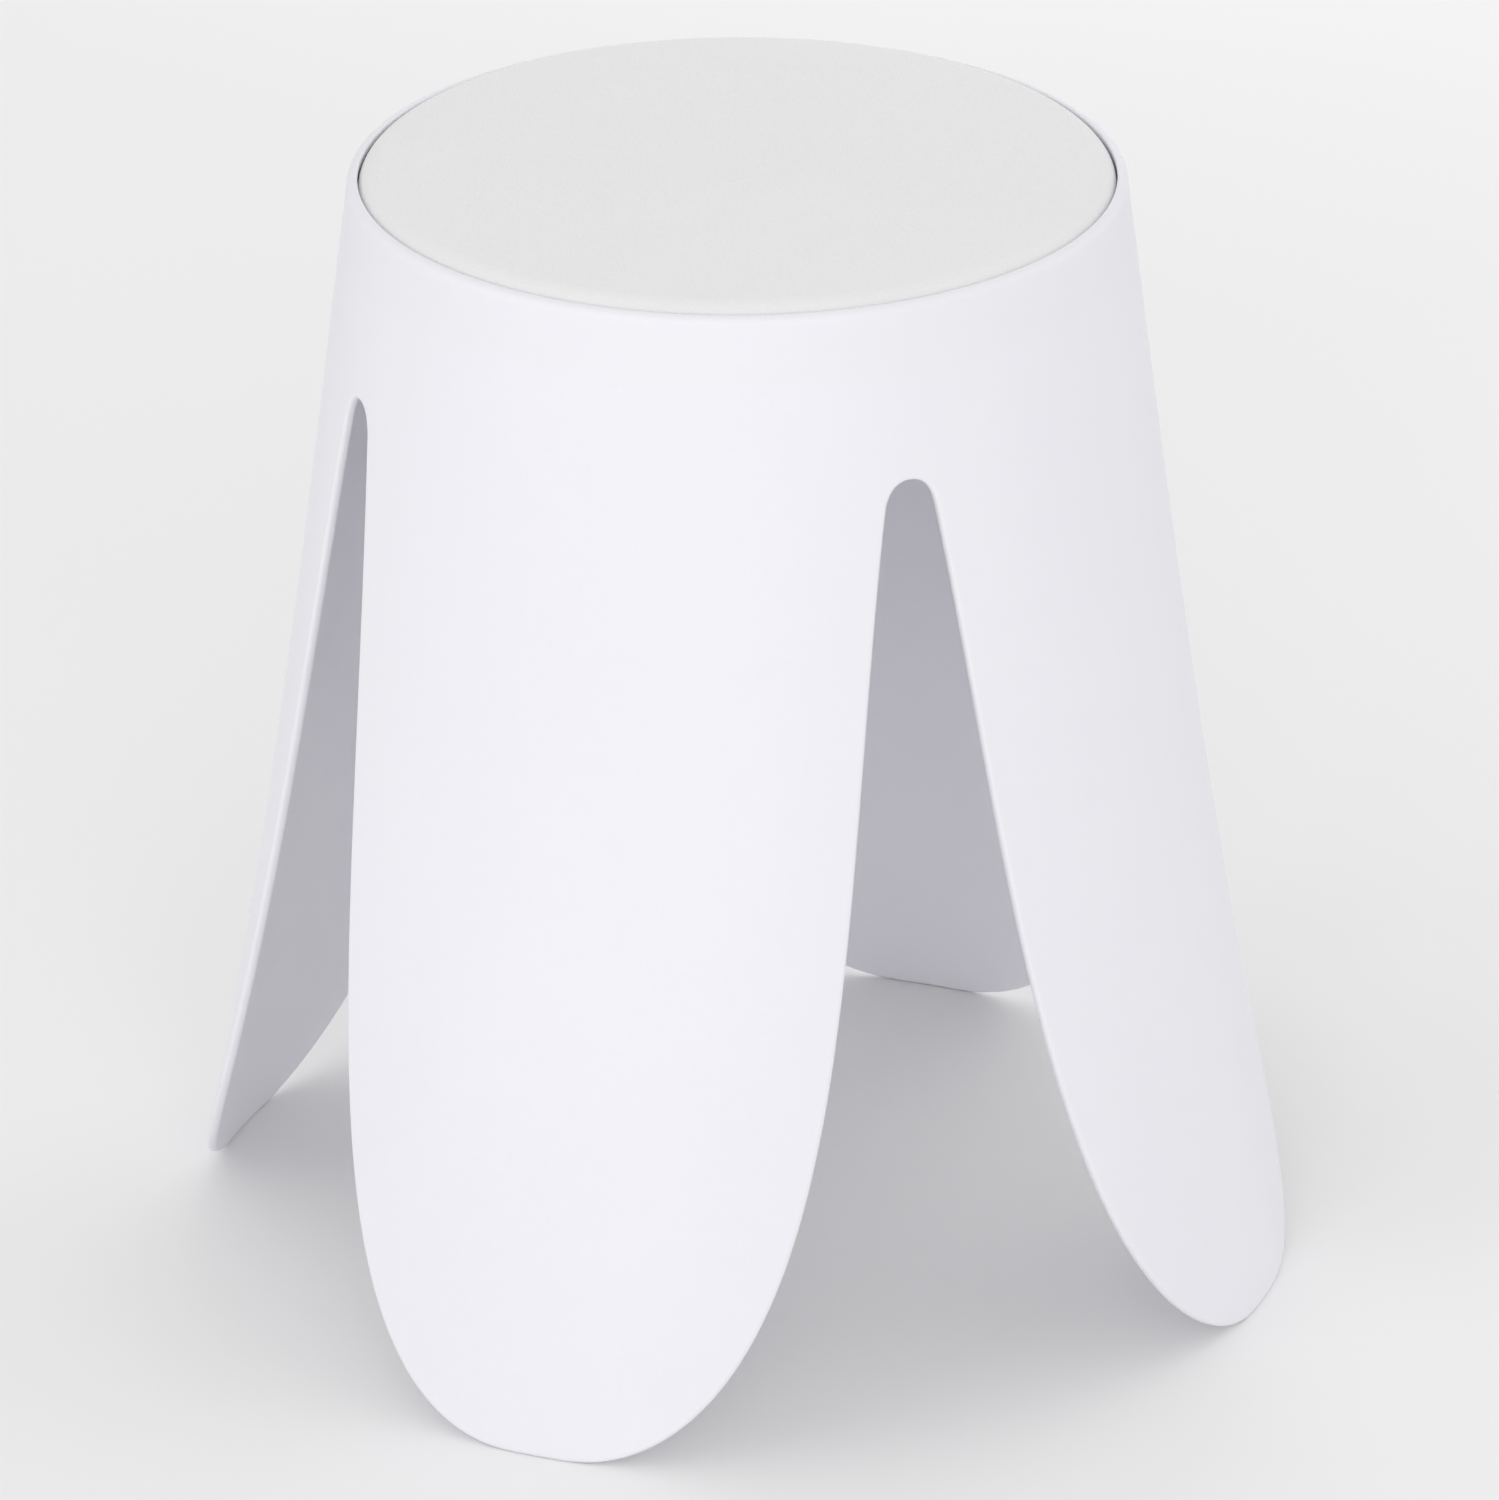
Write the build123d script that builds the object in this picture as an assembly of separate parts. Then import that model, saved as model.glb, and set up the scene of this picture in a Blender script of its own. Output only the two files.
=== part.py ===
"""Shower stool: a one-piece moulded body with four petal legs and a padded seat let into its rim.

Millimetres, +Z up, origin on the floor under the middle of the seat. The four slots face
-Y, +X, +Y and -X, and the four legs stand on the diagonals between them.
"""
from build123d import *
import os
from math import radians, tan

# Body: flared side. Its outer radius is given at four even steps from the rim down, as curve handles
RIM_HEIGHT = 460.0
SKIRT_FOOT = -10.0          # the flare is drawn on to here, and the floor cuts it off at 0
SKIRT_RADII = (153.75, 173.9, 194.3, 230.1)
WALL = 4.0                  # measured level
RIM_ROUND = 3.3             # outer edge of the rim
LIP_ROUND = 0.6             # inner edge of the rim
EDGE_ROUND = 1.5            # both edges of the slots and legs

# Body: slots between the legs, drawn on an upright plane that touches the circle of the leg tips
TIP_CIRCLE_RADIUS = 228.0
LEGS = 4
SLOT_TOP = 390.6
SLOT_END_HANDLE = 9.0       # half width of the slot's round end, as a curve handle
SLOT_SHOULDER = (15.0, 379.0)
SLOT_SHOULDER_HANDLE = 0.045
SLOT_SIDE_UPPER = (48.0, 237.0)
SLOT_SIDE_LOWER = (48.0, 52.5)
SLOT_TIP_HANDLE = (109.0, 0.0)
TIP_LAND = 24.0             # flat length of each leg's tip on the floor

# Body: deck that carries the seat
DECK_TOP = 436.0
DECK_THICKNESS = 3.5
CHANNEL_RADIUS = 112.0      # outside this the deck is lower, clear of the cover's folded edge
CHANNEL_DEPTH = 3.0
RIBS = 8
RIB_THICKNESS = 2.5
RIB_BOTTOM = 419.0
DECK_REACH = 155.8          # the deck and its ribs end inside the wall
RING_RIB_RADII = (24.0, 96.0)
BOSS_RADIUS = 9.0
BOSS_DEPTH = 12.0
DRAINS = 8
DRAIN_RADIUS = 3.0
DRAIN_CIRCLE_RADIUS = 140.0

# Seat
SEAT_RADIUS = 148.9         # outside of the cover
SEAT_TOP = 467.0            # middle of the crown
SEAT_CORNER = 463.0         # where the crown would meet the side
SEAT_EDGE_ROUND = 8.5
COVER_THICKNESS = 1.0
FOLD_INNER_RADIUS = 119.0   # the cover is turned in under the board as far as this
BOARD_THICKNESS = 9.0
BOARD_EDGE_ROUND = 1.5

# Fasteners
SCREWS = 4
SCREW_CIRCLE_RADIUS = 96.0
SCREW_START = 45.0          # the first screw's angle from +X
SCREW_RADIUS = 2.9
SCREW_HOLE_RADIUS = 3.3
SCREW_LENGTH = 25.0
SCREW_TIP_CHAMFER = 0.8
SCREW_HEAD_RADIUS = 6.0
SCREW_HEAD_HEIGHT = 3.8
SCREW_HEAD_ROUND = 2.4
CROSS_WIDTH = 1.2
CROSS_LENGTH = 6.4
CROSS_DEPTH = 2.2
WASHER_RADIUS = 8.0
WASHER_THICKNESS = 1.6
NUT_BORE_RADIUS = 2.95
NUT_BARREL_RADIUS = 4.0
NUT_FLANGE_RADIUS = 9.5
NUT_FLANGE_THICKNESS = 1.5
NUT_PRONGS = 4
NUT_PRONG = (1.2, 2.4, 5.0)  # thickness, width and depth of a prong
NUT_PRONG_RADIUS = 8.2
STAPLES = 36
STAPLE_CIRCLE_RADIUS = 131.0
STAPLE_WIDTH = 10.0
STAPLE_LEG = 6.5
STAPLE_WIRE = 0.8

DECK_BOTTOM = DECK_TOP - DECK_THICKNESS
BOSS_BOTTOM = DECK_BOTTOM - BOSS_DEPTH
WASHER_BOTTOM = BOSS_BOTTOM - WASHER_THICKNESS
BOARD_TOP = DECK_TOP + BOARD_THICKNESS
BOARD_RADIUS = SEAT_RADIUS - COVER_THICKNESS
FOLD_BOTTOM = DECK_TOP - COVER_THICKNESS
OVERRUN = 1.0               # how far a cutting tool runs past the piece it cuts


def turned(piece, count, start=0.0):
    """Copies of a piece, evenly spaced about Z."""
    return [Rot(0, 0, start + i * 360 / count) * piece for i in range(count)]


def disc(radius, bottom, top):
    """Upright cylinder about Z between two heights."""
    return Pos(0, 0, bottom) * Cylinder(radius, top - bottom, align=(Align.CENTER, Align.CENTER, Align.MIN))


def upright_face(edges):
    """Face from a closed run of edges in the XZ plane."""
    return make_face(Wire(edges))


def skirt_side(inset):
    """Flared side of the body in the XZ plane, moved in towards the axis."""
    step = (RIM_HEIGHT - SKIRT_FOOT) / (len(SKIRT_RADII) - 1)
    return Bezier(*[(radius - inset, 0, RIM_HEIGHT - i * step) for i, radius in enumerate(SKIRT_RADII)])


def skirt():
    """Flared tube with its rim rounded."""
    outer = skirt_side(0)
    inner = skirt_side(WALL)
    section = upright_face([outer, Line(outer @ 1, inner @ 1), inner, Line(inner @ 0, outer @ 0)])
    tube = revolve(section, Axis.Z, 360)
    rim = tube.edges().filter_by(GeomType.CIRCLE).group_by(Axis.Z)[-1].sort_by(SortBy.RADIUS)
    tube = fillet(rim[-1], RIM_ROUND)
    rim = tube.edges().filter_by(GeomType.CIRCLE).filter_by_position(
        Axis.Z, RIM_HEIGHT - LIP_ROUND, RIM_HEIGHT + LIP_ROUND).sort_by(SortBy.RADIUS)
    return fillet(rim[0], LIP_ROUND)


def slot_outline(distance):
    """Outline of one slot and its half of the floor cut, on an upright plane at y = -distance."""
    scale = distance / TIP_CIRCLE_RADIUS
    land_angle = 180 / LEGS - TIP_LAND / 2 / radians(1) / TIP_CIRCLE_RADIUS

    def point(x, z):
        return Vector(x * scale, -distance, z)

    tip = TIP_CIRCLE_RADIUS * tan(radians(land_angle))
    leg_middle = TIP_CIRCLE_RADIUS * tan(radians(180 / LEGS))
    end_handle = tuple(
        s + (s - u) * SLOT_SHOULDER_HANDLE for s, u in zip(SLOT_SHOULDER, SLOT_SIDE_UPPER))
    right = [
        Line(point(leg_middle, SKIRT_FOOT - OVERRUN), point(leg_middle, 0)),
        Line(point(leg_middle, 0), point(tip, 0)),
        Bezier(point(tip, 0), point(*SLOT_TIP_HANDLE), point(*SLOT_SIDE_LOWER),
               point(*SLOT_SIDE_UPPER), point(*SLOT_SHOULDER)),
        Bezier(point(*SLOT_SHOULDER), point(*end_handle),
               point(SLOT_END_HANDLE, SLOT_TOP), point(0, SLOT_TOP)),
    ]
    left = [edge.mirror(Plane.YZ) for edge in right]
    floor = Line(point(-leg_middle, SKIRT_FOOT - OVERRUN), point(leg_middle, SKIRT_FOOT - OVERRUN))
    return Wire(right + left + [floor])


def slot_cutter():
    """Everything cut away for one slot. Its sides all point at the axis."""
    outlines = [slot_outline(1.2 * SKIRT_RADII[-1]), slot_outline(0.6 * SKIRT_RADII[0])]
    return Solid.make_loft(outlines, ruled=True)


def legs_and_skirt():
    """The skirt with its slots cut and every slot edge rounded."""
    body = skirt()
    for cutter in turned(slot_cutter(), LEGS):
        body = body - cutter
    edges = [e for e in body.edges() if e.bounding_box().max.Z < SLOT_TOP + OVERRUN and e.length > 1.5 * WALL]
    return fillet(edges, EDGE_ROUND)


def deck_plate():
    """Round plate whose outer ring is lower, so that the seat's folded edge hangs clear."""
    low = DECK_TOP - CHANNEL_DEPTH
    outline = Polyline(
        (0, 0, DECK_TOP), (CHANNEL_RADIUS, 0, DECK_TOP), (CHANNEL_RADIUS + CHANNEL_DEPTH, 0, low),
        (DECK_REACH, 0, low), (DECK_REACH, 0, low - DECK_THICKNESS),
        (CHANNEL_RADIUS, 0, low - DECK_THICKNESS), (CHANNEL_RADIUS - CHANNEL_DEPTH, 0, DECK_BOTTOM),
        (0, 0, DECK_BOTTOM), close=True)
    return revolve(make_face(outline), Axis.Z, 360)


def ribs():
    """Spokes and two rings under the deck."""
    start = RING_RIB_RADII[0]
    height = DECK_BOTTOM + OVERRUN - RIB_BOTTOM
    corner = (Align.MIN, Align.CENTER, Align.MIN)
    foot = Pos(start, 0, RIB_BOTTOM)
    spoke = foot * Box(DECK_REACH - start, RIB_THICKNESS, height - CHANNEL_DEPTH, align=corner)
    spoke = spoke + foot * Box(CHANNEL_RADIUS - start, RIB_THICKNESS, height, align=corner)
    half = RIB_THICKNESS / 2
    rings = [
        disc(radius + half, RIB_BOTTOM, RIB_BOTTOM + height)
        - disc(radius - half, RIB_BOTTOM - OVERRUN, RIB_BOTTOM + height + OVERRUN)
        for radius in RING_RIB_RADII]
    return turned(spoke, RIBS) + rings


def deck():
    """Deck with its ribs, screw bosses and drains."""
    at_screw = Pos(SCREW_CIRCLE_RADIUS, 0, 0)
    under, over = RIB_BOTTOM - OVERRUN, DECK_TOP + OVERRUN
    boss = at_screw * disc(BOSS_RADIUS, BOSS_BOTTOM, DECK_BOTTOM + OVERRUN)
    hole = at_screw * disc(SCREW_HOLE_RADIUS, under, over)
    washer_space = at_screw * disc(WASHER_RADIUS + OVERRUN, under, BOSS_BOTTOM)
    drain = Pos(DRAIN_CIRCLE_RADIUS, 0, 0) * disc(DRAIN_RADIUS, under, over)
    plate = deck_plate() + ribs() + turned(boss, SCREWS, SCREW_START)
    plate = plate - turned(hole, SCREWS, SCREW_START) - turned(washer_space, SCREWS, SCREW_START)
    return plate - turned(drain, DRAINS, 180 / DRAINS) - disc(DRAIN_RADIUS, under, over)


def body_shell():
    return legs_and_skirt() + deck()


def seat_form(inset, bottom):
    """Solid inside the seat's skin: flat below, upright side, rounded edge and crowned top."""
    radius = SEAT_RADIUS - inset
    top = SEAT_TOP - inset
    corner = SEAT_CORNER - inset
    halfway = top - (top - corner) / 4
    outline = [
        Line((0, 0, bottom), (radius, 0, bottom)),
        Line((radius, 0, bottom), (radius, 0, corner)),
        ThreePointArc((radius, 0, corner), (radius / 2, 0, halfway), (0, 0, top)),
        Line((0, 0, top), (0, 0, bottom)),
    ]
    form = revolve(upright_face(outline), Axis.Z, 360)
    edge = form.edges().filter_by(GeomType.CIRCLE).filter_by_position(Axis.Z, corner - 0.1, corner + 0.1)
    return fillet(edge, SEAT_EDGE_ROUND - inset)


def seat_cover(staples):
    """Skin over the foam and board, turned in under the board and pierced by the staples."""
    cover = seat_form(0, FOLD_BOTTOM) - seat_form(COVER_THICKNESS, DECK_TOP)
    cover = cover - disc(FOLD_INNER_RADIUS, FOLD_BOTTOM - OVERRUN, DECK_TOP + OVERRUN)
    return cover - staples


def seat_foam():
    return seat_form(COVER_THICKNESS, BOARD_TOP)


def seat_board(nuts, staples):
    """Round board with pockets that the nuts and staples fill."""
    board = disc(BOARD_RADIUS, DECK_TOP, BOARD_TOP)
    board = fillet(board.edges().group_by(Axis.Z)[0], BOARD_EDGE_ROUND)
    bore = Pos(SCREW_CIRCLE_RADIUS, 0, 0) * disc(NUT_BARREL_RADIUS, DECK_TOP - OVERRUN, BOARD_TOP)
    return board - turned(bore, SCREWS, SCREW_START) - nuts - staples


def cover_staples():
    """Wire staples driven up through the cover's folded edge."""
    half = STAPLE_WIDTH / 2
    bottom = FOLD_BOTTOM - STAPLE_WIRE
    outer = Pos(STAPLE_CIRCLE_RADIUS, 0, bottom) * Box(
        STAPLE_WIRE, STAPLE_WIDTH, STAPLE_LEG, align=(Align.CENTER, Align.CENTER, Align.MIN))
    gap = Pos(STAPLE_CIRCLE_RADIUS, 0, FOLD_BOTTOM) * Box(
        2 * STAPLE_WIRE, 2 * (half - STAPLE_WIRE), STAPLE_LEG, align=(Align.CENTER, Align.CENTER, Align.MIN))
    return turned(outer - gap, STAPLES)


def seat_nuts():
    """Tee nuts let in from the top of the board."""
    flange = disc(NUT_FLANGE_RADIUS, BOARD_TOP - NUT_FLANGE_THICKNESS, BOARD_TOP)
    barrel = disc(NUT_BARREL_RADIUS, DECK_TOP + OVERRUN, BOARD_TOP)
    thickness, width, depth = NUT_PRONG
    prong = Pos(NUT_PRONG_RADIUS, 0, BOARD_TOP) * Box(
        thickness, width, depth, align=(Align.CENTER, Align.CENTER, Align.MAX))
    nut = flange + barrel + turned(prong, NUT_PRONGS, 180 / NUT_PRONGS)
    nut = nut - disc(NUT_BORE_RADIUS, DECK_TOP, BOARD_TOP + OVERRUN)
    return turned(Pos(SCREW_CIRCLE_RADIUS, 0, 0) * nut, SCREWS, SCREW_START)


def seat_screws():
    """Pan-head machine screws with a cross recess, heads down."""
    head_bottom = WASHER_BOTTOM - SCREW_HEAD_HEIGHT
    head = disc(SCREW_HEAD_RADIUS, head_bottom, WASHER_BOTTOM)
    head = fillet(head.edges().group_by(Axis.Z)[0], SCREW_HEAD_ROUND)
    shank = disc(SCREW_RADIUS, WASHER_BOTTOM, WASHER_BOTTOM + SCREW_LENGTH)
    screw = head + chamfer(shank.edges().group_by(Axis.Z)[-1], SCREW_TIP_CHAMFER)
    for turn in (0, 90):
        screw = screw - Rot(0, 0, turn) * Pos(0, 0, head_bottom) * Box(
            CROSS_LENGTH, CROSS_WIDTH, 2 * CROSS_DEPTH)
    return turned(Pos(SCREW_CIRCLE_RADIUS, 0, 0) * screw, SCREWS, SCREW_START)


def screw_washers():
    washer = disc(WASHER_RADIUS, WASHER_BOTTOM, BOSS_BOTTOM) - disc(
        SCREW_HOLE_RADIUS, WASHER_BOTTOM - OVERRUN, BOSS_BOTTOM + OVERRUN)
    return turned(Pos(SCREW_CIRCLE_RADIUS, 0, 0) * washer, SCREWS, SCREW_START)


def save(name, shape):
    """Write a node. A group of separate pieces is written as one compound."""
    if isinstance(shape, list):
        shape = Compound(children=shape)
    export_step(shape, f"parts/{name}.step")


def main():
    os.makedirs("parts", exist_ok=True)
    nuts = seat_nuts()
    staples = cover_staples()
    save("body_shell", body_shell())
    save("seat_board", seat_board(nuts, staples))
    save("seat_foam", seat_foam())
    save("seat_cover", seat_cover(staples))
    save("cover_staples", staples)
    save("seat_nuts", nuts)
    save("seat_screws", seat_screws())
    save("screw_washers", screw_washers())


if __name__ == "__main__":
    main()
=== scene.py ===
"""Looks of the shower stool: the cushion's skin, a material for every piece, light, floor and camera.

Metres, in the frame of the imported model. The CAD nodes stay where they are. Only the plain cover is replaced.
"""
import math

import bpy
from mathutils import Matrix, Vector, noise


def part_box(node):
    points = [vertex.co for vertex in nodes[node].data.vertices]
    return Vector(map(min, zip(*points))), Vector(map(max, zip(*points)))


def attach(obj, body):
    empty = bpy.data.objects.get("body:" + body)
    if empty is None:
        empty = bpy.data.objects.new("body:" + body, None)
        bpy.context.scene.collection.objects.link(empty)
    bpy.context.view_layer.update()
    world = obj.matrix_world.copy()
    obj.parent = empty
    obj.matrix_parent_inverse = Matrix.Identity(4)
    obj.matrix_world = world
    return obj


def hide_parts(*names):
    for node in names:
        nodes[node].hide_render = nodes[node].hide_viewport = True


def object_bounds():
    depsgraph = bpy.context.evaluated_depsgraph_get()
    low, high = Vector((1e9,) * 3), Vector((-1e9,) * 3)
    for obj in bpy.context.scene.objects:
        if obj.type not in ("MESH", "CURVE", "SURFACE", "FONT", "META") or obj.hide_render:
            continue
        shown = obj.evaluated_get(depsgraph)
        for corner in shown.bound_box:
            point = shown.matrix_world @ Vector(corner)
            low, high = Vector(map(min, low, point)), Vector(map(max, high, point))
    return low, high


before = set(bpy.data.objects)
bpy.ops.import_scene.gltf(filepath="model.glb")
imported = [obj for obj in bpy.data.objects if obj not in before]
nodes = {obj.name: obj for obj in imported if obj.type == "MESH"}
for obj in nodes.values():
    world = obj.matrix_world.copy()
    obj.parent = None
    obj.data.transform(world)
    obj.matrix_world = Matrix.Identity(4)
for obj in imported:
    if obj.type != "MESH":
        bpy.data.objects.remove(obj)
cad_low, cad_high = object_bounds()
scene = bpy.context.scene

# Cushion cover. Its radius and heights come from the CAD nodes it wraps
cover_low, cover_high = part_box("seat_cover")
board_low, board_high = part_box("seat_board")
RADIUS = cover_high[0]
TOP = cover_high[2]
BOARD_BOTTOM = board_low[2]
BOARD_TOP = board_high[2]
FOLD_BOTTOM = cover_low[2]
LEATHER = RADIUS - board_high[0]    # thickness of the cover
CROWN = 0.004                       # how far the middle stands above the corner
EDGE_ROUND = 0.0085
LOWER_ROUND = 0.0025                # where the cover turns under the board
SHOULDER = RADIUS - EDGE_ROUND      # the crown ends here and the rounded edge starts
FOLD_END = 0.119                    # the turned-in edge stops here
STAPLES = 36                        # as many as the CAD has, the first on +X
GRID = 72                           # quads across the top
AROUND = 4 * GRID
PRESS_START = 0.0012                # the cloth starts this much lower in the middle, before it is lifted
PRESS_LIFT = 0.0016                 # the cloth's lift is scaled so that its greatest value is this
PRESS_FRAMES = 20
SIDE_SWELL = 0.0008                 # the foam squeezes out between its top edge and the board
PUCKER = 0.00012                    # ripple that the staples leave in the side
GATHER = 0.0009                     # depth of the gathers in the turned-in edge

# Marks of use on the body
SCUFF_HEIGHT = 0.003                # the leg tips are scuffed up to here
HANDLED = (0.018, 0.008)            # smoothing by hands fades in over this range of depths below the seat top

# Studio
AIM = Vector((0, 0, 0.25))          # where the lights point
WORLD_STRENGTH = 0.79
FLOOR_SIZE = 12

# Camera. Angles are in radians, except the azimuth
LENS = 229.9
CAMERA_DISTANCE = 3.5263            # level distance from the middle of the seat
CAMERA_HEIGHT = 1.8315
CAMERA_AZIMUTH = -23.87             # degrees from the front, towards the left
CAMERA_PITCH = -0.43125
CAMERA_YAW = 0.00106                # how far it looks past the middle
CAMERA_ROLL = -0.00452


# Mesh of the cushion cover

def crown_height(r):
    """Height of the pad's outer surface inside the rounded edge."""
    return TOP - CROWN * (r / RADIUS) ** 2


def arc(centre_r, centre_z, radius, start, end, steps):
    """Profile points along an arc. Angles are in degrees above the outward direction."""
    points = []
    for i in range(steps + 1):
        a = math.radians(start + (end - start) * i / steps)
        points.append((centre_r + radius * math.cos(a), centre_z + radius * math.sin(a)))
    return points


def line(start, end, steps):
    """Profile points along a straight line, without its start."""
    return [(start[0] + (end[0] - start[0]) * i / steps, start[1] + (end[1] - start[1]) * i / steps)
            for i in range(1, steps + 1)]


def outer_profile():
    """From the rim of the top's grid, over the edge, down the side and in under the board."""
    edge = arc(SHOULDER, crown_height(SHOULDER) - EDGE_ROUND, EDGE_ROUND, 90, 0, 12)
    turn = arc(RADIUS - LOWER_ROUND, FOLD_BOTTOM + LOWER_ROUND, LOWER_ROUND, 0, -90, 6)
    side = line(edge[-1], turn[0], 10)
    fold = line(turn[-1], (FOLD_END, FOLD_BOTTOM), 12)
    return edge + side + turn[1:] + fold


def inner_profile():
    """From the end of the turned-in edge, back out along the board and up beside the foam."""
    out = line((FOLD_END, FOLD_BOTTOM), (FOLD_END, BOARD_BOTTOM), 1)
    turn_round = LOWER_ROUND - LEATHER
    corner = line(out[-1], (RADIUS - LOWER_ROUND, BOARD_BOTTOM), 8)
    turn = arc(RADIUS - LOWER_ROUND, BOARD_BOTTOM + turn_round, turn_round, -90, 0, 4)
    edge = arc(SHOULDER, crown_height(SHOULDER) - EDGE_ROUND, EDGE_ROUND - LEATHER, 0, 90, 8)
    return out + corner + turn[1:] + line(turn[-1], edge[0], 6) + edge[1:]


def disc_point(i, j):
    """Point of a square grid pressed evenly into a unit disc."""
    a, b = 2 * i / GRID - 1, 2 * j / GRID - 1
    if a == 0 and b == 0:
        return 0.0, 0.0
    if abs(a) >= abs(b):
        return a * math.cos(math.pi / 4 * b / a), a * math.sin(math.pi / 4 * b / a)
    return b * math.sin(math.pi / 4 * a / b), b * math.cos(math.pi / 4 * a / b)


def grid_rim():
    """Grid places round the edge of the disc, in order, starting at its +X -Y corner."""
    up = [(GRID, j) for j in range(GRID)]
    back = [(GRID - i, GRID) for i in range(GRID)]
    down = [(0, GRID - j) for j in range(GRID)]
    forth = [(i, 0) for i in range(GRID)]
    return up + back + down + forth


def disc_cap(vertices, faces, radius, height, upward):
    """Adds a quad grid filling a circle and returns its rim's vertex numbers in order."""
    first = len(vertices)
    number = {}
    for i in range(GRID + 1):
        for j in range(GRID + 1):
            x, y = disc_point(i, j)
            number[i, j] = first + len(number)
            vertices.append((x * radius, y * radius, height(radius * math.hypot(x, y))))
    for i in range(GRID):
        for j in range(GRID):
            quad = (number[i, j], number[i + 1, j], number[i + 1, j + 1], number[i, j + 1])
            faces.append(quad if upward else quad[::-1])
    return [number[place] for place in grid_rim()]


def ring(vertices, r, z):
    """Adds a circle of vertices, in the order of the grid's rim, and returns their numbers."""
    first = len(vertices)
    for k in range(AROUND):
        a = 2 * math.pi * (k / AROUND - 0.125)
        vertices.append((r * math.cos(a), r * math.sin(a), z))
    return list(range(first, first + AROUND))


def strip(faces, upper, lower):
    """Quads between two rings, facing outwards when the first is the upper one."""
    for k in range(AROUND):
        n = (k + 1) % AROUND
        faces.append((upper[k], lower[k], lower[n], upper[n]))


def cover_mesh():
    """Closed skin of the cushion, all in quads, and the number of the last vertex of its outside."""
    vertices, faces = [], []
    rim = disc_cap(vertices, faces, SHOULDER, crown_height, True)
    last_outer = len(vertices) - 1
    for r, z in outer_profile()[1:]:
        following = ring(vertices, r, z)
        strip(faces, rim, following)
        rim = following
        last_outer = following[-1]
    for r, z in inner_profile()[:-1]:
        following = ring(vertices, r, z)
        strip(faces, rim, following)
        rim = following
    inside = disc_cap(vertices, faces, SHOULDER, lambda r: crown_height(r) - LEATHER, False)
    strip(faces, rim, inside)
    mesh = bpy.data.meshes.new("seat_cushion")
    mesh.from_pydata(vertices, [], faces)
    mesh.update()
    mesh.shade_smooth()
    return mesh, last_outer


# Shaping of the cushion cover

def dome(point):
    """1 in the middle of the seat, falling to 0 where the rounded edge starts."""
    return max(0.0, 1 - (point.x ** 2 + point.y ** 2) / SHOULDER ** 2)


def press_out(mesh, last_outer):
    """Lift of each point of the outside, from cloth under pressure that is held round its edge."""
    flat = mesh.copy()
    for v in flat.vertices:
        if v.index <= last_outer and v.co.z > BOARD_TOP:
            v.co.z -= PRESS_START * dome(v.co)
    work = bpy.data.objects.new("press_out", flat)
    scene.collection.objects.link(work)
    held = work.vertex_groups.new(name="held")
    for v in flat.vertices:
        free = v.index <= last_outer and v.co.z > BOARD_TOP and dome(v.co) > 0
        held.add([v.index], 0.0 if free else 1.0, "REPLACE")
    cloth = work.modifiers.new("cloth", "CLOTH")
    settings = cloth.settings
    settings.quality = 6
    settings.mass = 0.3
    settings.tension_stiffness = settings.compression_stiffness = 40
    settings.bending_stiffness = 2
    settings.vertex_group_mass = "held"
    settings.use_pressure = True
    settings.uniform_pressure_force = 4
    settings.effector_weights.gravity = 0
    cloth.point_cache.frame_start, cloth.point_cache.frame_end = 1, PRESS_FRAMES
    for f in range(1, PRESS_FRAMES + 1):
        scene.frame_set(f)
    pressed = work.evaluated_get(bpy.context.evaluated_depsgraph_get()).to_mesh()
    rise = [pressed.vertices[i].co.z - flat.vertices[i].co.z for i in range(last_outer + 1)]
    work.to_mesh_clear()
    scene.frame_set(1)
    bpy.data.objects.remove(work)
    bpy.data.meshes.remove(flat)
    most = max(rise)
    return [PRESS_LIFT * max(0.0, h) / most for h in rise]


def shape_cover(mesh, last_outer):
    """Lifts the top, swells the side, and leaves the staples' puckers and gathers."""
    lift = press_out(mesh, last_outer)
    for v in mesh.vertices[:last_outer + 1]:
        r = math.hypot(v.co.x, v.co.y)
        angle = math.atan2(v.co.y, v.co.x)
        around = Vector((math.cos(angle) * 3, math.sin(angle) * 3, 0))
        uneven = 0.6 + 0.8 * noise.noise(around)
        if v.co.z > BOARD_TOP:
            # A dome as high as the greatest lift comes off again, which leaves how the lift differs from it
            v.co.z += lift[v.index] - PRESS_LIFT * dome(v.co)
        if r > RADIUS - EDGE_ROUND / 2 and FOLD_BOTTOM + LOWER_ROUND < v.co.z:
            down = min(1.0, (TOP - v.co.z) / (TOP - BOARD_TOP))
            swell = SIDE_SWELL * math.sin(math.pi * down) ** 2 if v.co.z > BOARD_TOP else 0.0
            pucker = PUCKER * uneven * down * (1 + math.cos(STAPLES * angle)) / 2
            v.co.xy *= 1 + (swell - pucker) / r
        elif r < RADIUS - LOWER_ROUND and v.co.z < BOARD_BOTTOM:
            inward = (RADIUS - LOWER_ROUND - r) / (RADIUS - LOWER_ROUND - FOLD_END)
            v.co.z -= GATHER * uneven * inward * (1 - math.cos(STAPLES * angle)) / 2
    mesh.update()


def cushion():
    """The cushion's skin in place of the plain CAD cover."""
    mesh, last_outer = cover_mesh()
    shape_cover(mesh, last_outer)
    obj = bpy.data.objects.new("seat_cushion", mesh)
    scene.collection.objects.link(obj)
    obj.data.materials.append(leather())
    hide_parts("seat_cover")
    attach(obj, "root")


# Materials

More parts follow.
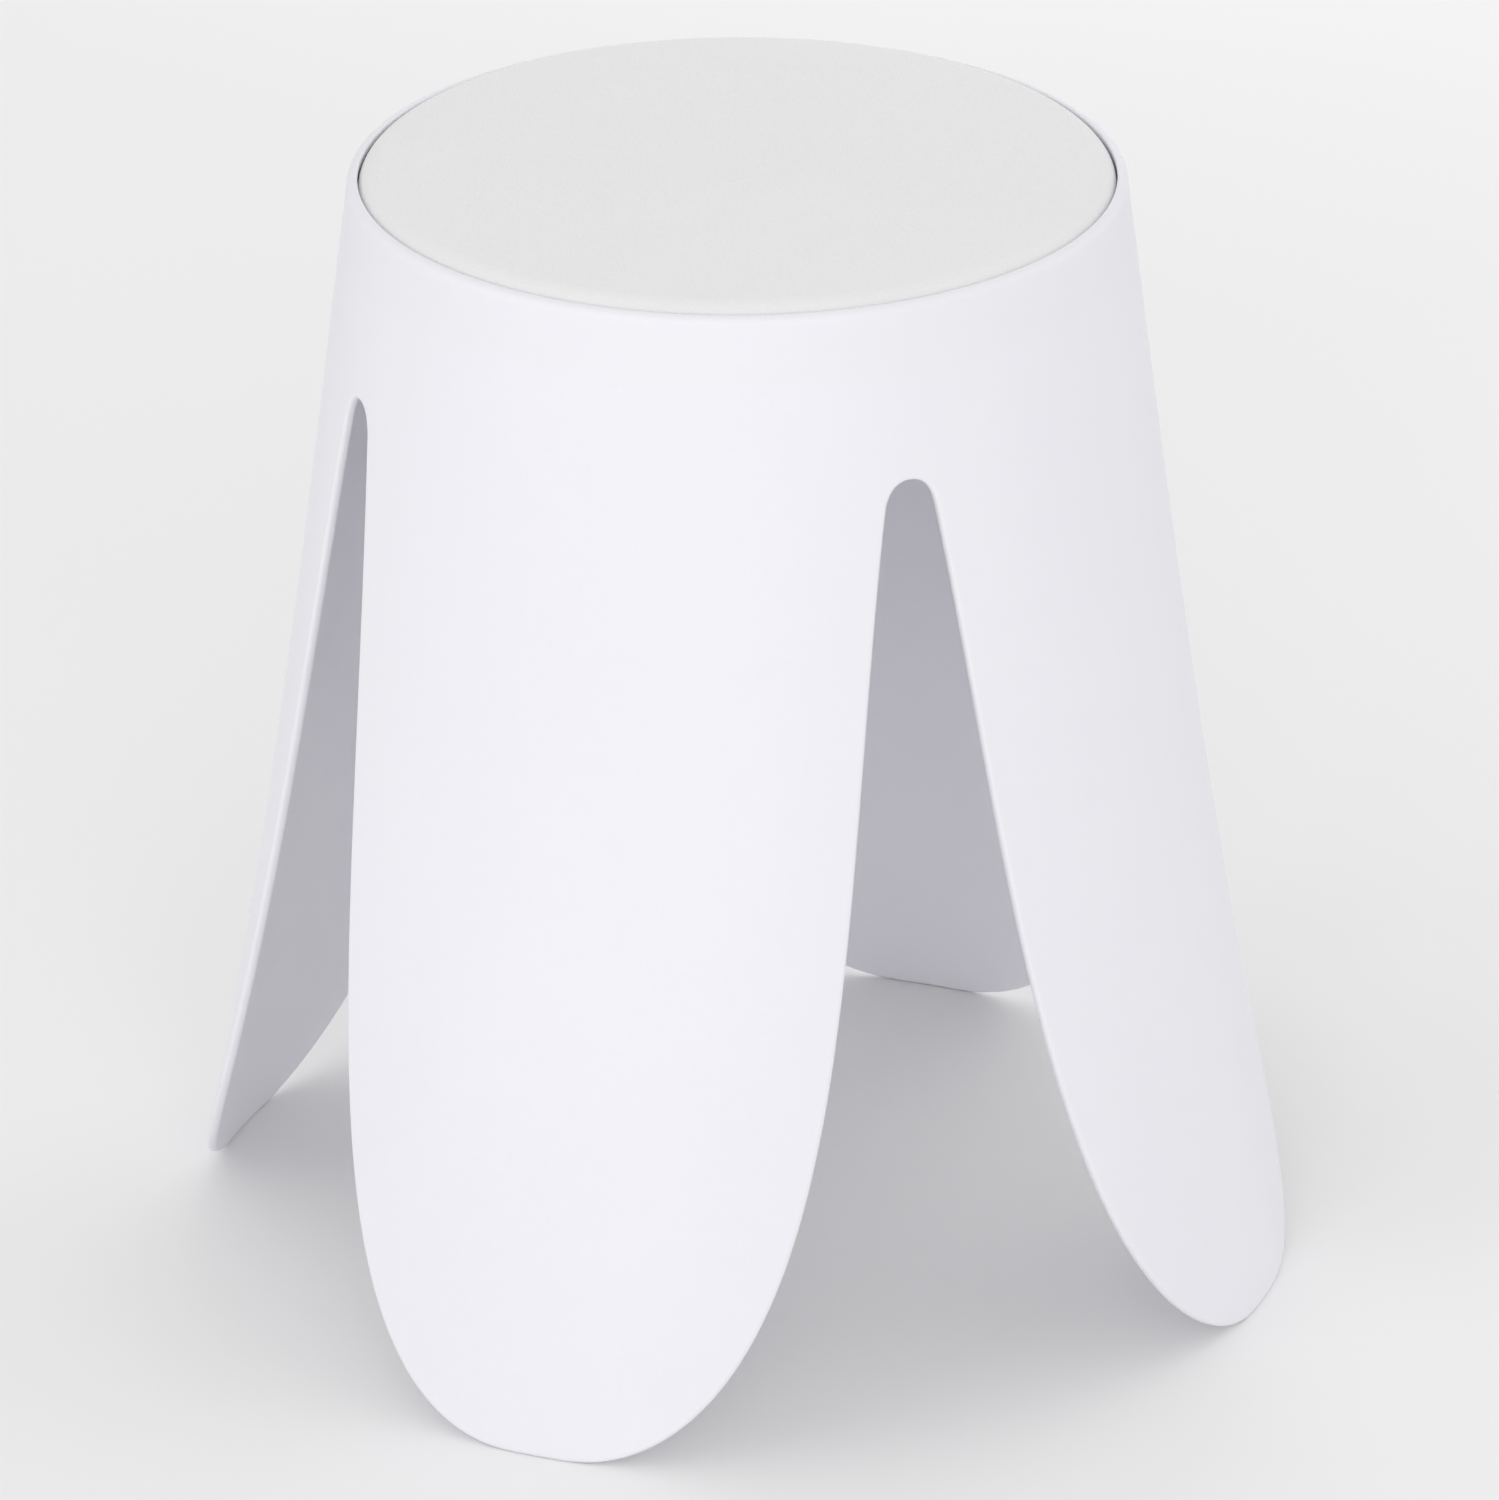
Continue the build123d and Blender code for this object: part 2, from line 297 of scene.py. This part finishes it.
class Shader:
    """A material with short calls that add and wire its nodes. Patterns are in metres of the frame."""

    def __init__(self, name, **sockets):
        self.material = bpy.data.materials.new(name)
        self.material.use_nodes = True
        self.tree = self.material.node_tree
        self.surface = self.tree.nodes["Principled BSDF"]
        for socket, value in sockets.items():
            self.surface.inputs[socket.replace("_", " ")].default_value = value
        self.place = self.add("ShaderNodeTexCoord").outputs["Object"]

    def add(self, kind, inputs=None, **settings):
        node = self.tree.nodes.new(kind)
        for name, value in settings.items():
            setattr(node, name, value)
        for name, value in (inputs or {}).items():
            if isinstance(value, bpy.types.NodeSocket):
                self.tree.links.new(value, node.inputs[name])
            else:
                node.inputs[name].default_value = value
        return node

    def stretched(self, scale):
        return self.add("ShaderNodeMapping", {"Vector": self.place, "Scale": scale}).outputs[0]

    def noise(self, scale, detail=3.0, roughness=0.5, place=None):
        return self.add("ShaderNodeTexNoise", {"Vector": place or self.place, "Scale": scale,
                                               "Detail": detail, "Roughness": roughness}).outputs["Fac"]

    def cells(self, scale, feature="F1"):
        return self.add("ShaderNodeTexVoronoi", {"Vector": self.place, "Scale": scale},
                        feature=feature).outputs["Distance"]

    def span(self, value, low, high, to_low=0.0, to_high=1.0):
        """Maps a value smoothly from one range to another."""
        return self.add("ShaderNodeMapRange", {"Value": value, "From Min": low, "From Max": high,
                                               "To Min": to_low, "To Max": to_high},
                        interpolation_type="SMOOTHSTEP").outputs[0]

    def math(self, operation, a, b):
        return self.add("ShaderNodeMath", {0: a, 1: b}, operation=operation).outputs[0]

    def mix(self, factor, a, b):
        """Blend of two colours."""
        node = self.add("ShaderNodeMix", {"Factor": factor}, data_type="RGBA")
        for index, value in ((6, a), (7, b)):
            if isinstance(value, bpy.types.NodeSocket):
                self.tree.links.new(value, node.inputs[index])
            else:
                node.inputs[index].default_value = (*value, 1)
        return node.outputs[2]

    def bump(self, height, distance, strength=1.0, over=None):
        inputs = {"Height": height, "Distance": distance, "Strength": strength}
        if over:
            inputs["Normal"] = over
        return self.add("ShaderNodeBump", inputs).outputs[0]

    def height_above_floor(self):
        return self.add("ShaderNodeSeparateXYZ", {0: self.place}).outputs["Z"]

    def finish(self, colour, roughness, normal):
        for name, value in (("Base Color", colour), ("Roughness", roughness), ("Normal", normal)):
            self.tree.links.new(value, self.surface.inputs[name])
        return self.material


def moulded_plastic():
    """White polypropylene with an etched mould texture, faint flow clouds and scuffed leg tips."""
    s = Shader("moulded_plastic", IOR=1.49, Subsurface_Weight=0.3, Subsurface_Scale=0.004,
               Subsurface_Radius=(1, 1, 1))
    flow = s.noise(9, 2, place=s.stretched((1, 1, 0.45)))
    cloud = s.noise(42, 4)
    etch = s.noise(2400, 4, 0.65)
    z = s.height_above_floor()
    scuffed = s.math("MULTIPLY", s.span(z, SCUFF_HEIGHT, 0.0), s.span(s.noise(220, 5, 0.7), 0.45, 0.7))
    handled = s.span(z, cad_high[2] - HANDLED[0], cad_high[2] - HANDLED[1])
    colour = s.mix(s.span(flow, 0.3, 0.7), (0.848, 0.843, 0.889), (0.860, 0.855, 0.900))
    colour = s.mix(s.span(cloud, 0.45, 0.75, 0, 0.35), colour, (0.840, 0.835, 0.880))
    colour = s.mix(s.math("MULTIPLY", scuffed, 0.35), colour, (0.66, 0.65, 0.66))
    rough = s.span(cloud, 0.3, 0.7, 0.50, 0.58)
    rough = s.math("ADD", rough, s.math("MULTIPLY", scuffed, 0.18))
    rough = s.math("SUBTRACT", rough, s.math("MULTIPLY", handled, 0.05))
    normal = s.bump(flow, 0.0006, 0.35)
    normal = s.bump(etch, 0.00009, 0.6, normal)
    return s.finish(colour, rough, s.bump(scuffed, 0.00008, 0.5, normal))


def leather():
    """White coated fabric with a fine pebbled grain and painted shade in the creases of its grain."""
    s = Shader("seat_leather", IOR=1.5, Coat_Weight=0.04, Coat_Roughness=0.45)
    pebble = s.span(s.cells(780, "DISTANCE_TO_EDGE"), 0.0, 0.22)
    small = s.span(s.cells(1750, "DISTANCE_TO_EDGE"), 0.0, 0.28)
    pull = s.noise(60, 3, 0.55)
    patch = s.noise(14, 3)
    colour = s.mix(s.span(patch, 0.3, 0.7), (0.850, 0.849, 0.852), (0.868, 0.867, 0.870))
    # Painted shade: the creases between the grain's pebbles are darkened in the colour, where shade falls.
    colour = s.mix(s.span(pebble, 0.0, 1.0, 0.22, 0.0), colour, (0.775, 0.772, 0.772))
    rough = s.span(pebble, 0.0, 1.0, 0.66, 0.52)
    rough = s.math("ADD", rough, s.span(patch, 0.35, 0.65, -0.03, 0.03))
    normal = s.bump(pull, 0.0004, 0.25)
    normal = s.bump(pebble, 0.00009, 0.6, normal)
    return s.finish(colour, rough, s.bump(small, 0.00003, 0.5, normal))


def foam():
    """Open-cell foam, yellowed a little in patches, with painted shade in its pores."""
    s = Shader("seat_foam", IOR=1.3)
    cell = s.cells(900)
    large = s.cells(330)
    age = s.noise(18, 3)
    colour = s.mix(s.span(age, 0.3, 0.7), (0.90, 0.85, 0.66), (0.93, 0.89, 0.73))
    # Painted shade: the pores are darkened in the colour, where shade falls into the holes of the foam.
    colour = s.mix(s.span(cell, 0.15, 0.6, 0.5, 0.0), colour, (0.62, 0.55, 0.36))
    rough = s.span(cell, 0.0, 0.6, 0.98, 0.86)
    return s.finish(colour, rough, s.bump(large, 0.0005, 0.5, s.bump(cell, 0.0003, 0.8)))


def plywood():
    """Birch plywood: long grain on its faces and plies along its edge."""
    s = Shader("board_plywood", IOR=1.45)
    ring_pattern = s.noise(22, 5, 0.6, s.stretched((0.35, 3.2, 3.2)))
    fibre = s.noise(900, 3, 0.6, s.stretched((0.04, 1, 1)))
    ply = s.add("ShaderNodeTexWave", {"Vector": s.place, "Scale": 105, "Distortion": 0.6, "Detail": 2.0},
                bands_direction="Z").outputs["Fac"]
    colour = s.mix(s.span(ring_pattern, 0.35, 0.65), (0.78, 0.64, 0.45), (0.64, 0.48, 0.30))
    colour = s.mix(s.span(ply, 0.45, 0.6, 0.0, 0.28), colour, (0.46, 0.31, 0.18))
    colour = s.mix(s.span(fibre, 0.5, 0.75, 0.0, 0.4), colour, (0.50, 0.36, 0.22))
    rough = s.span(fibre, 0.3, 0.7, 0.62, 0.8)
    return s.finish(colour, rough, s.bump(fibre, 0.0001, 0.6, s.bump(ply, 0.0002, 0.3)))


def plated_steel(name, bright, dull, brushed, patch_scale):
    """Zinc-plated steel with drawn or turned marks and a cloudy passivated film."""
    s = Shader(name, Metallic=1.0)
    film = s.noise(patch_scale, 4, 0.6)
    marks = s.noise(2600, 3, 0.6, s.stretched(brushed))
    pits = s.span(s.cells(1500), 0.0, 0.18, 1.0, 0.0)
    colour = s.mix(s.span(film, 0.35, 0.65), bright, dull)
    colour = s.mix(s.math("MULTIPLY", pits, 0.4), colour, (0.30, 0.27, 0.24))
    rough = s.math("ADD", s.span(film, 0.3, 0.7, 0.26, 0.42), s.math("MULTIPLY", marks, 0.1))
    return s.finish(colour, rough, s.bump(marks, 0.00002, 0.5, s.bump(pits, 0.00003, 0.4)))


def dress_nodes():
    """Gives each CAD node that stays a material of its own."""
    looks = {
        "body_shell": moulded_plastic(),
        "seat_foam": foam(),
        "seat_board": plywood(),
        "cover_staples": plated_steel(
            "staple_wire", (0.70, 0.70, 0.71), (0.56, 0.56, 0.58), (1, 1, 0.08), 500),
        "seat_nuts": plated_steel(
            "nut_steel", (0.74, 0.72, 0.62), (0.62, 0.58, 0.47), (0.1, 1, 1), 260),
        "seat_screws": plated_steel(
            "screw_steel", (0.72, 0.72, 0.73), (0.58, 0.58, 0.61), (1, 1, 0.1), 320),
        "screw_washers": plated_steel(
            "washer_steel", (0.68, 0.68, 0.70), (0.55, 0.55, 0.57), (1, 0.08, 1), 240),
    }
    for name, material in looks.items():
        nodes[name].data.materials.clear()
        nodes[name].data.materials.append(material)


def floor_material():
    """Pale seamless backdrop paper."""
    s = Shader("floor_paper", IOR=1.4)
    patch = s.noise(1.5, 2)
    fibre = s.noise(700, 4, 0.6)
    colour = s.mix(s.span(patch, 0.3, 0.7), (0.900, 0.900, 0.903), (0.910, 0.910, 0.912))
    return s.finish(colour, s.span(fibre, 0.3, 0.7, 0.82, 0.92), s.bump(fibre, 0.0001, 0.3))


# Studio

def softbox(name, azimuth, height, distance, size, power):
    """Square soft light. Azimuth 0 is in front of the stool and 90 is on its right."""
    data = bpy.data.lights.new(name, "AREA")
    data.shape, data.size, data.energy = "SQUARE", size, power
    light = bpy.data.objects.new(name, data)
    a = math.radians(azimuth)
    light.location = (distance * math.sin(a), -distance * math.cos(a), height)
    light.rotation_euler = (AIM - light.location).to_track_quat("-Z", "Y").to_euler()
    scene.collection.objects.link(light)


def studio():
    """Even white surroundings, four soft lights and the floor."""
    world = bpy.data.worlds.new("world")
    world.use_nodes = True
    background = world.node_tree.nodes["Background"]
    background.inputs["Color"].default_value = (1, 1, 1, 1)
    background.inputs["Strength"].default_value = WORLD_STRENGTH
    scene.world = world
    scene.view_settings.view_transform = "Standard"
    softbox("front_light", -24, 1.3, 2.6, 1.4, 14)
    softbox("left_light", -85, 1.3, 2.4, 1.5, 5)
    softbox("right_light", 100, 1.3, 2.4, 1.5, 5)
    softbox("back_light", 150, 0.7, 2.4, 1.4, 5)
    bpy.ops.mesh.primitive_plane_add(size=FLOOR_SIZE)
    floor = bpy.context.object
    floor.name = "floor"
    floor.data.materials.append(floor_material())


def camera():
    """Telephoto view from the front left, looking down on the seat."""
    data = bpy.data.cameras.new("camera")
    data.lens = LENS
    data.clip_start, data.clip_end = 0.1, 50
    cam = bpy.data.objects.new("camera", data)
    scene.collection.objects.link(cam)
    azimuth = math.radians(CAMERA_AZIMUTH)
    cam.location = (CAMERA_DISTANCE * math.sin(azimuth), -CAMERA_DISTANCE * math.cos(azimuth), CAMERA_HEIGHT)
    turn = Matrix.Rotation(azimuth - CAMERA_YAW, 3, "Z")
    tilt = Matrix.Rotation(math.pi / 2 + CAMERA_PITCH, 3, "X")
    cam.rotation_euler = (turn @ tilt @ Matrix.Rotation(CAMERA_ROLL, 3, "Z")).to_euler()
    scene.camera = cam


dress_nodes()
cushion()
studio()
camera()
